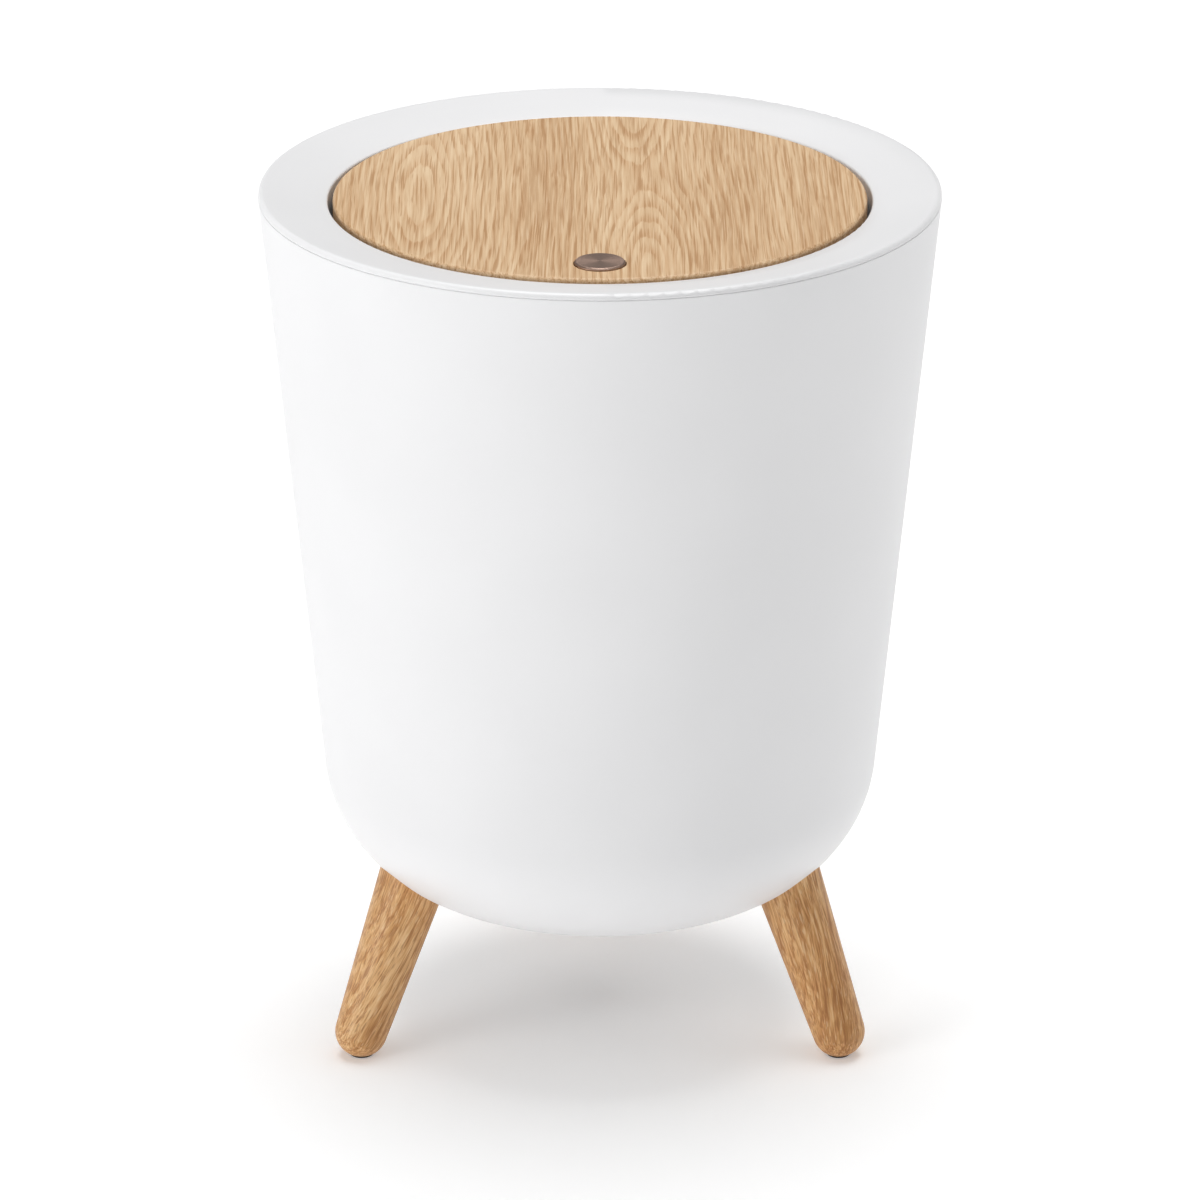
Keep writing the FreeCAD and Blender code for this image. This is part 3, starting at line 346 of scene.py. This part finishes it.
# several shells of points and quads become one mesh; poles are merged and faces turned outwards
def buildMesh(name, shells, attributes=None):
    points, quads, count = [], [], 0
    for shellPoints, shellQuads in shells:
        flat = shellPoints.reshape(-1, 3)
        points.append(flat)
        quads.append(shellQuads + count)
        count += len(flat)
    points, quads = np.concatenate(points), np.concatenate(quads)
    mesh = bpy.data.meshes.new(name)
    mesh.from_pydata((points * mm).tolist(), [], quads.tolist())
    for key, values in (attributes or {}).items():
        layer = mesh.attributes.new(key, "FLOAT_VECTOR", "POINT")
        layer.data.foreach_set("vector", (values * mm).astype(np.float32).ravel())
    work = bmesh.new()
    work.from_mesh(mesh)
    bmesh.ops.remove_doubles(work, verts=work.verts, dist=weld)
    bmesh.ops.dissolve_degenerate(work, edges=work.edges, dist=weld)
    bmesh.ops.recalc_face_normals(work, faces=work.faces)
    work.to_mesh(mesh)
    work.free()
    mesh.polygons.foreach_set("use_smooth", np.ones(len(mesh.polygons), dtype=bool))
    mesh.update()
    return mesh


def addPiece(name, mesh, body, slotName, material, *nodes):
    piece = bpy.data.objects.new(name, mesh)
    bpy.context.scene.collection.objects.link(piece)
    mesh.materials.append(material)
    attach(piece, body)
    if nodes:
        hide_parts(*nodes)
    print("piece", name, len(mesh.polygons), "faces")
    return piece


# tub: a tapered wall that turns under in a wide arc to a flat floor, with a rounded rim
tub = {"rim": 122.5, "top": 318.3, "bottom": 53.0, "taper": 5.3, "corner": 51.0, "wall": 2.5, "lip": 0.4,
       "columns": 300, "floorRows": 14, "cornerRows": 40, "wallRows": 40, "lipRows": 7, "innerWallRows": 30,
       "innerCornerRows": 28, "innerFloorRows": 10}
tubLean = math.radians(tub["taper"])
# the arc's centre: the rim less the arc's reach and less what the leaning wall comes in on its way down
cornerIn = (tub["rim"] - tub["corner"] * math.cos(tubLean) - math.tan(tubLean)
            * (tub["top"] - tub["bottom"] - tub["corner"] + tub["corner"] * math.sin(tubLean)))
cornerUp = tub["bottom"] + tub["corner"]


def cornerPoint(radius):
    return (cornerIn + radius * math.cos(tubLean), cornerUp - radius * math.sin(tubLean))


def tubProfile():
    lip, tilt = tub["lip"], tub["taper"]
    outer, inner = tub["corner"], tub["corner"] - tub["wall"]
    innerRim = tub["rim"] - tub["wall"] / math.cos(tubLean)
    outerLip = (tub["rim"] - lip, tub["top"] - lip)
    innerLip = (innerRim + lip, tub["top"] - lip)
    wallTop = (outerLip[0] + lip * math.cos(tubLean), outerLip[1] - lip * math.sin(tubLean))
    return joinRuns(
        run((0, tub["bottom"]), (cornerIn, tub["bottom"]), tub["floorRows"]),
        sweep((cornerIn, cornerUp), outer, -90, -tilt, tub["cornerRows"]),
        run(cornerPoint(outer), wallTop, tub["wallRows"]),
        sweep(outerLip, lip, -tilt, 90, tub["lipRows"]),
        sweep(innerLip, lip, 90, 180, tub["lipRows"]),
        run((innerLip[0] - lip, innerLip[1]), cornerPoint(inner), tub["innerWallRows"]),
        sweep((cornerIn, cornerUp), inner, -tilt, -90, tub["innerCornerRows"]),
        run((cornerIn, cornerUp - inner), (0, cornerUp - inner), tub["innerFloorRows"]),
    )


# leg: bearings are in degrees from the right-hand side, counted towards the back
leg = {"splay": 21.4, "taper": 2.7, "insertion": 19.6, "seat": 26.2, "foot": 9.7, "footFlat": 1.6,
       "pad": 1.2, "padInset": 1.0, "seatThick": 4.0, "topRound": 0.6, "bore": 2.42, "boreDeep": 26.0,
       "grainLean": 0.26, "grainStep": 90.0, "columns": 96, "ballRows": 40, "coneRows": 40, "roundRows": 5,
       "topRows": 6, "boreRows": 4, "boreFloorRows": 3,
       "bearings": {"leg_front_left": 210, "leg_front_right": 330, "leg_rear": 90}}
legLean, legCone = math.radians(leg["splay"]), math.radians(leg["taper"])
footUp = leg["foot"] - leg["footFlat"] + leg["pad"]
legLong = (tub["bottom"] - footUp) / math.cos(legLean) + leg["insertion"]
footOut = cornerIn + leg["seat"] + legLong * math.sin(legLean)
legTop = leg["foot"] / math.cos(legCone) + legLong * math.tan(legCone)


# a leg's own upright space to the bin's: leaned in towards the axis, then turned to its bearing
def standLeg(points, bearing):
    b = math.radians(bearing)
    out = np.array([math.cos(b), math.sin(b), 0])
    aside = np.array([-math.sin(b), math.cos(b), 0])
    up = np.array([0, 0, 1.0])
    axis = up * math.cos(legLean) - out * math.sin(legLean)
    across = out * math.cos(legLean) + up * math.sin(legLean)
    return (out * footOut + up * footUp + points[..., :1] * across + points[..., 1:2] * aside
            + points[..., 2:] * axis)


# socket: a round boss along the leg's axis; each of its sides starts in the middle of the tub's wall
boss = {"wall": 2.7, "topRound": 1.2, "columns": 72, "halvings": 40, "sideRows": 12, "roundRows": 7,
        "topRows": 8}


def socketShell(bearing):
    bossRadius, topRound, columns = legTop + boss["wall"], boss["topRound"], boss["columns"]
    top = legLong + leg["seatThick"]
    sideTop = top - topRound
    turn = np.linspace(0, 2 * np.pi, columns, endpoint=False)
    ringXY = np.stack([bossRadius * np.cos(turn), bossRadius * np.sin(turn)], axis=1)
    low, high = np.zeros(columns), np.full(columns, sideTop)
    # halving: the side crosses the wall where its distance to the corner's centre fits
    for step in range(boss["halvings"]):
        middle = (low + high) / 2
        spot = standLeg(np.column_stack([ringXY, middle]), bearing)
        drop = np.minimum(spot[:, 2] - cornerUp, 0)
        far = np.hypot(np.hypot(spot[:, 0], spot[:, 1]) - cornerIn, drop)
        outside = far > tub["corner"] - tub["wall"] / 2
        low, high = np.where(outside, middle, low), np.where(outside, high, middle)
    rise = np.linspace(0, 1, boss["sideRows"])[:, None]
    side = np.stack([ringXY[:, 0] + 0 * rise, ringXY[:, 1] + 0 * rise, low + rise * (sideTop - low)], axis=2)
    cap = turnedGrid(joinRuns(sweep((bossRadius - topRound, sideTop), topRound, 0, 90, boss["roundRows"]),
                              run((bossRadius - topRound, top), (0, top), boss["topRows"])), columns)
    grid = np.concatenate([side, cap[1:]])
    return standLeg(grid, bearing), ringQuads(grid.shape[0], columns)


def makeTub():
    grid = turnedGrid(tubProfile(), tub["columns"])
    shells = [(grid, ringQuads(*grid.shape[:2]))]
    shells += [socketShell(bearing) for bearing in leg["bearings"].values()]
    addPiece("tub", buildMesh("tub", shells), "tub", "white_plastic", white, "body_shell")


# leg: a ball foot that runs into a slow cone, bored for its screw; what would reach below the pad's top is
# raised to it, which makes the flat of the foot
def makeLegs():
    soft = leg["topRound"]
    edge = (leg["foot"] * math.cos(legCone), -leg["foot"] * math.sin(legCone))
    shoulder = legTop - soft * math.tan(legCone)
    boreFloor = legLong - leg["boreDeep"]
    profile = joinRuns(sweep((0, 0), leg["foot"], -90, -leg["taper"], leg["ballRows"]),
                       run(edge, (shoulder, legLong - soft), leg["coneRows"]),
                       sweep((shoulder - soft, legLong - soft), soft, 0, 90, leg["roundRows"]),
                       run((shoulder - soft, legLong), (leg["bore"], legLong), leg["topRows"]),
                       run((leg["bore"], legLong), (leg["bore"], boreFloor), leg["boreRows"]),
                       run((leg["bore"], boreFloor), (0, boreFloor), leg["boreFloorRows"]))
    own = turnedGrid(profile, leg["columns"])
    x, y, z = own[..., 0], own[..., 1], own[..., 2]
    for number, (node, bearing) in enumerate(leg["bearings"].items()):
        points = standLeg(own, bearing)
        points[..., 2] = np.maximum(points[..., 2], leg["pad"])
        # grain: a board square to the front, its y along the leg; towards the foot the fibres lean across it
        b = math.radians(bearing)
        across = x * math.cos(b) - y * math.sin(b) - leg["grainLean"] * z * (1 - z / (2 * legLong))
        deep = x * math.sin(b) + y * math.cos(b)
        grain = np.stack([across, z + leg["grainStep"] * number, deep], axis=2)
        mesh = buildMesh(node + "_wood", [(points, ringQuads(*own.shape[:2]))],
                         {"grain": grain.reshape(-1, 3)})
        addPiece(node + "_wood", mesh, "tub", "leg_wood", legBoard, node)


# foot pad: a thin disc with a rounded lower edge under each foot
pad = {"soft": 0.3, "columns": 48, "flatRows": 6, "softRows": 5, "sideRows": 4}


def makePads():
    flat = math.sqrt(leg["foot"] ** 2 - (leg["foot"] - leg["footFlat"]) ** 2) - leg["padInset"]
    soft, thick = pad["soft"], leg["pad"]
    profile = joinRuns(run((0, 0), (flat - soft, 0), pad["flatRows"]),
                       sweep((flat - soft, soft), soft, -90, 0, pad["softRows"]),
                       run((flat, soft), (flat, thick), pad["sideRows"]),
                       run((flat, thick), (0, thick), pad["flatRows"]))
    grid = turnedGrid(profile, pad["columns"])
    shells = []
    for bearing in leg["bearings"].values():
        b = math.radians(bearing)
        spot = np.array([footOut * math.cos(b), footOut * math.sin(b), 0])
        shells.append((grid + spot, ringQuads(*grid.shape[:2])))
    mesh = buildMesh("foot_pads_rubber", shells)
    addPiece("foot_pads_rubber", mesh, "tub", "dark_rubber", padRubber, "foot_pads")


# lid: a disc whose rows slide from the button's hole to the rim, centre and radius growing together
lid = {"gap": 1.8, "proud": 0.9, "thick": 7.0, "edge": 1.5, "under": 1.2, "holeEdge": 0.25, "columns": 288,
       "holeRows": 8, "holeEdgeRows": 5, "faceRows": 26, "edgeRows": 9, "sideRows": 8, "underEdgeRows": 7,
       "underRows": 20}
ring = {"width": 24.8, "dish": 10.6, "crest": 1.7, "edge": 1.0}
button = {"inset": 17.5, "radius": 8.9, "gap": 0.35, "proud": 0.9, "thick": 1.8, "chamfer": 0.5, "soft": 0.1,
          "softIn": 0.08, "bevelCut": 0.03, "sideCut": 0.05, "columns": 128, "faceRows": 20, "softRows": 4,
          "bevelRows": 5, "sideRows": 6, "underRows": 8}
dish = math.radians(ring["dish"])
opening = tub["rim"] - ring["width"]
dishOut = tub["rim"] - ring["crest"] - ring["crest"] * math.sin(dish)
dishOutUp = tub["top"] + tub["lip"] + ring["crest"] * math.cos(dish)
dishIn = opening + ring["edge"] - ring["edge"] * math.sin(dish)
dishInUp = dishOutUp - (dishOut - dishIn) * math.tan(dish)
lidRadius = opening - lid["gap"]
lidTop = dishInUp + lid["proud"]
lidUnder = lidTop - lid["thick"]
buttonY = button["inset"] - lidRadius


def makeLid():
    hole, soft = button["radius"] + button["gap"], lid["holeEdge"]
    e, u = lid["edge"], lid["under"]
    profile = joinRuns(
        run((hole, lidUnder), (hole, lidTop - soft), lid["holeRows"]),
        sweep((hole + soft, lidTop - soft), soft, 180, 90, lid["holeEdgeRows"]),
        run((hole + soft, lidTop), (lidRadius - e, lidTop), lid["faceRows"]),
        sweep((lidRadius - e, lidTop - e), e, 90, 0, lid["edgeRows"]),
        run((lidRadius, lidTop - e), (lidRadius, lidUnder + u), lid["sideRows"]),
        sweep((lidRadius - u, lidUnder + u), u, 0, -90, lid["underEdgeRows"]),
        run((lidRadius - u, lidUnder), (hole, lidUnder), lid["underRows"]),
    )
    grid = turnedGrid(profile, lid["columns"])
    inner, outer = hole + soft, lidRadius - e
    slide = np.clip((outer - profile[:, 0]) / (outer - inner), 0, 1)
    grid[..., 1] += (slide * buttonY)[:, None]
    mesh = buildMesh("lid_board", [(grid, ringQuads(*grid.shape[:2]))])
    addPiece("lid_board", mesh, "lid", "lid_wood", lidBoard, "lid_panel")


# button: a flat cap with a bevelled edge; its uv runs round it and out from its centre
def makeButton():
    top = lidTop + button["proud"]
    bevel, low = button["chamfer"], lidTop + button["proud"] - button["thick"]
    r, soft, cut = button["radius"], button["soft"], button["bevelCut"]
    face = r - bevel - button["softIn"]
    profile = joinRuns(run((0.0, top), (face, top), button["faceRows"]),
                       sweep((face, top - soft), soft, 90, 45, button["softRows"]),
                       run((r - bevel, top - cut), (r - cut, top - bevel), button["bevelRows"]),
                       run((r, top - bevel - button["sideCut"]), (r, low), button["sideRows"]),
                       run((r, low), (0, low), button["underRows"]))
    grid = turnedGrid(profile, button["columns"])
    grid[..., 1] += buttonY
    mesh = buildMesh("button_cap", [(grid, ringQuads(*grid.shape[:2]))])
    places = np.empty(len(mesh.vertices) * 3)
    mesh.vertices.foreach_get("co", places)
    places = places.reshape(-1, 3) / mm
    corners = np.empty(len(mesh.loops), dtype=int)
    mesh.loops.foreach_get("vertex_index", corners)
    away = places[:, :2] - np.array([0, buttonY])
    around = np.degrees(np.arctan2(away[:, 1], away[:, 0]))
    uv = np.column_stack([around, np.hypot(away[:, 0], away[:, 1])])[corners] * mm
    mesh.uv_layers.new(name="spin").data.foreach_set("uv", uv.astype(np.float32).ravel())
    addPiece("button_cap", mesh, "button", "brown_metal", brownCap, "press_button")


# polished copies: a hidden or moulded node's own mesh, its loose triangles joined and its round faces smooth
polish = {"sharpAngle": 32, "weld": 1e-6}


def polishNode(node):
    mesh = frame["nodes"][node].data.copy()
    mesh.materials.clear()
    work = bmesh.new()
    work.from_mesh(mesh)
    bmesh.ops.remove_doubles(work, verts=work.verts, dist=polish["weld"])
    work.to_mesh(mesh)
    work.free()
    mesh.polygons.foreach_set("use_smooth", np.ones(len(mesh.polygons), dtype=bool))
    mesh.set_sharp_from_angle(angle=math.radians(polish["sharpAngle"]))
    return mesh


makeTub()
makeLegs()
makePads()
makeLid()
makeButton()

slotOf = {row["node"]: row["material_slot"] for row in frame["record"]["subparts"]}
redrawn = {"body_shell", "foot_pads", "lid_panel", "press_button", *leg["bearings"]}
polished = [node for node in frame["nodes"] if node not in redrawn]
bodyOf = {node: body for body, nodes in frame["record"]["behaviour"]["bodies"].items() for node in nodes}
finished = {}
for node in polished:
    finished[node] = addPiece(node + "_finished", polishNode(node), bodyOf[node], slotOf[node],
                              slotLooks[slotOf[node]], node)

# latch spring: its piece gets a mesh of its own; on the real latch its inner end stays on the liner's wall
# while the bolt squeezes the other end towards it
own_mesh(finished["latch_spring"])
print("pieces dressed")


# studio, in metres: a pale paper floor that glows, with a painted shadow under the bin, a key from the front
# left, a broad top light and a faint rim light
stage = {"rings": (0.0, 0.25, 0.5, 1.0, 2.0, 4.0, 8.0, 16.0, 40.0), "columns": 48, "paper": "#f2f2f2",
         # the floor's glow is dimmed near the bin as a painted shadow: it rises from the low shadow glow to
         # the near glow over the shadow radius
         "roughness": 0.9, "shadeRadius": 0.08, "shadeGlow": 0.06, "nearGlow": 0.25, "farFrom": 1.0,
         "farTo": 4.0, "farGlow": 0.45, "sky": 0.25, "aim": 0.17,
         "lamps": {"key": {"place": (-1.95, -1.3, 0.7), "size": 1.4, "watts": 20.0},
                   "top": {"place": (0.1, 0.6, 4.0), "size": 3.2, "watts": 125.0},
                   "rim": {"place": (2.1, -0.2, 0.6), "size": 1.0, "watts": 3.2}}}


def makeStage():
    rings = np.array(stage["rings"]) / mm
    grid = turnedGrid(np.column_stack([rings, 0 * rings]), stage["columns"])
    mesh = buildMesh("floor", [(grid, ringQuads(*grid.shape[:2]))])
    floor = bpy.data.objects.new("floor", mesh)
    bpy.context.scene.collection.objects.link(floor)
    material, tree, output = newMaterial("floor_white_paper")
    place = addNode(tree, "ShaderNodeTexCoord")
    away = addNode(tree, "ShaderNodeVectorMath", {"operation": "LENGTH"}, in0=(place, "Object"))
    # the floor glows as a studio table lit from below does, and less right under the bin: that dip in the
    # glow is a painted soft shadow beneath the bin
    shadowedGlow = addNode(tree, "ShaderNodeMapRange", None, Value=(away, "Value"), From_Min=0.0,
                   From_Max=stage["shadeRadius"], To_Min=stage["shadeGlow"], To_Max=stage["nearGlow"])
    # the lamps fade with distance, so the far floor glows more and low views see no dark horizon
    far = addNode(tree, "ShaderNodeMapRange", None, Value=(away, "Value"), From_Min=stage["farFrom"],
                  From_Max=stage["farTo"], To_Min=0.0, To_Max=stage["farGlow"])
    both = addNode(tree, "ShaderNodeMath", {"operation": "ADD"}, in0=(shadowedGlow, "Result"), in1=(far, "Result"))
    shader = addNode(tree, "ShaderNodeBsdfPrincipled", None, Base_Color=toLinear(stage["paper"]),
                     Roughness=stage["roughness"], Emission_Color=(1.0, 1.0, 1.0, 1.0),
                     Emission_Strength=(both, "Value"))
    tree.links.new(shader.outputs[0], output.inputs[0])
    mesh.materials.append(material)
    world = bpy.data.worlds.new("studio")
    world.use_nodes = True
    background = world.node_tree.nodes["Background"]
    background.inputs["Color"].default_value = (1, 1, 1, 1)
    background.inputs["Strength"].default_value = stage["sky"]
    bpy.context.scene.world = world
    for name, setting in stage["lamps"].items():
        light = bpy.data.lights.new(name, "AREA")
        light.shape, light.size, light.energy = "DISK", setting["size"], setting["watts"]
        lamp = bpy.data.objects.new(name, light)
        bpy.context.scene.collection.objects.link(lamp)
        lamp.location = setting["place"]
        towards = Vector((0, 0, stage["aim"])) - Vector(setting["place"])
        lamp.rotation_euler = towards.to_track_quat("-Z", "Y").to_euler()


# camera: fitted to the seam, the opening and the body's outline; pixels is the focal length in frame pixels
shot = {"target": 160.4, "distance": 2200.0, "elevation": 21.66, "pixels": 5971.0, "frame": 1200.0,
        "sensor": 36.0, "clipStart": 0.05, "clipEnd": 30.0}


def makeCamera():
    data = bpy.data.cameras.new("camera")
    data.sensor_width = shot["sensor"]
    data.lens = shot["pixels"] / shot["frame"] * shot["sensor"]
    data.clip_start, data.clip_end = shot["clipStart"], shot["clipEnd"]
    camera = bpy.data.objects.new("camera", data)
    bpy.context.scene.collection.objects.link(camera)
    up = math.radians(shot["elevation"])
    target = Vector((0, 0, shot["target"] * mm))
    back = Vector((0, -math.cos(up), math.sin(up)))
    camera.location = target + back * (shot["distance"] * mm)
    camera.rotation_euler = (-back).to_track_quat("-Z", "Y").to_euler()
    bpy.context.scene.camera = camera


makeStage()
makeCamera()
bpy.context.scene.view_settings.view_transform = "Standard"
print("stage and camera set")
